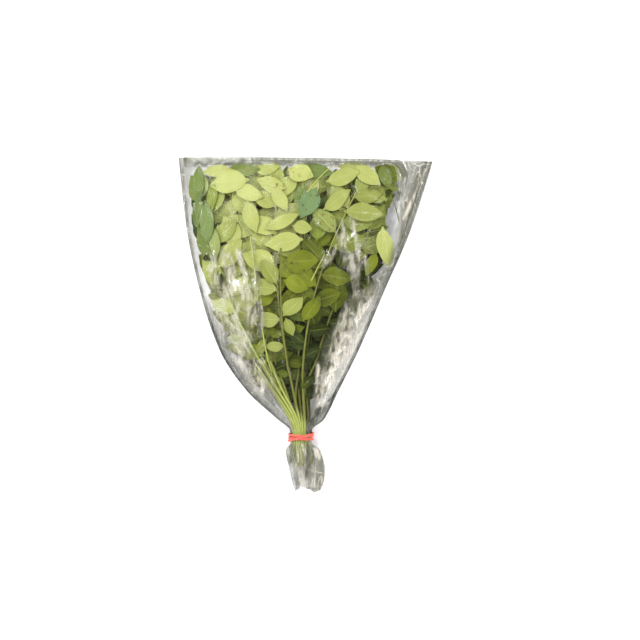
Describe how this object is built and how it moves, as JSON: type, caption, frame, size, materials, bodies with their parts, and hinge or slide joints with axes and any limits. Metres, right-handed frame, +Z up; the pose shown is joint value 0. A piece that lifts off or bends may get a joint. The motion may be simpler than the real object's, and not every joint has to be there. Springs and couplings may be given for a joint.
{
  "type": "bunch of curry leaf sprigs in a clear sleeve",
  "caption": "Bunch of curry leaf sprigs in a clear tapered film sleeve, gathered and tied at the neck with a red rubber band, lying flat.",
  "frame": {"origin": "on the surface the bunch lies on, under the middle of its outline", "axes": "+Y runs along the bunch from the cut stalk ends to the sleeve's open mouth, +X to the right when seen from above with the mouth away from the viewer, +Z up out of the surface"},
  "size_m": [0.255, 0.336, 0.0432],
  "materials": {
    "leaf_deep": "satin deep green leaf with a fine vein net",
    "leaf_pale": "matt pale yellow-green underside of a leaf",
    "film": "clear creased polypropylene film",
    "rubber": "satin red rubber"
  },
  "bodies": {
    "root": {"sprig_1": "leaf_deep", "sprig_2": "leaf_deep", "sprig_3": "leaf_deep", "sprig_4": "leaf_deep", "sprig_5": "leaf_deep", "sprig_6": "leaf_deep", "sprig_7": "leaf_pale", "sprig_8": "leaf_pale", "sprig_9": "leaf_pale", "sleeve": "film", "rubber_band": "rubber"}
  },
  "joints": []
}
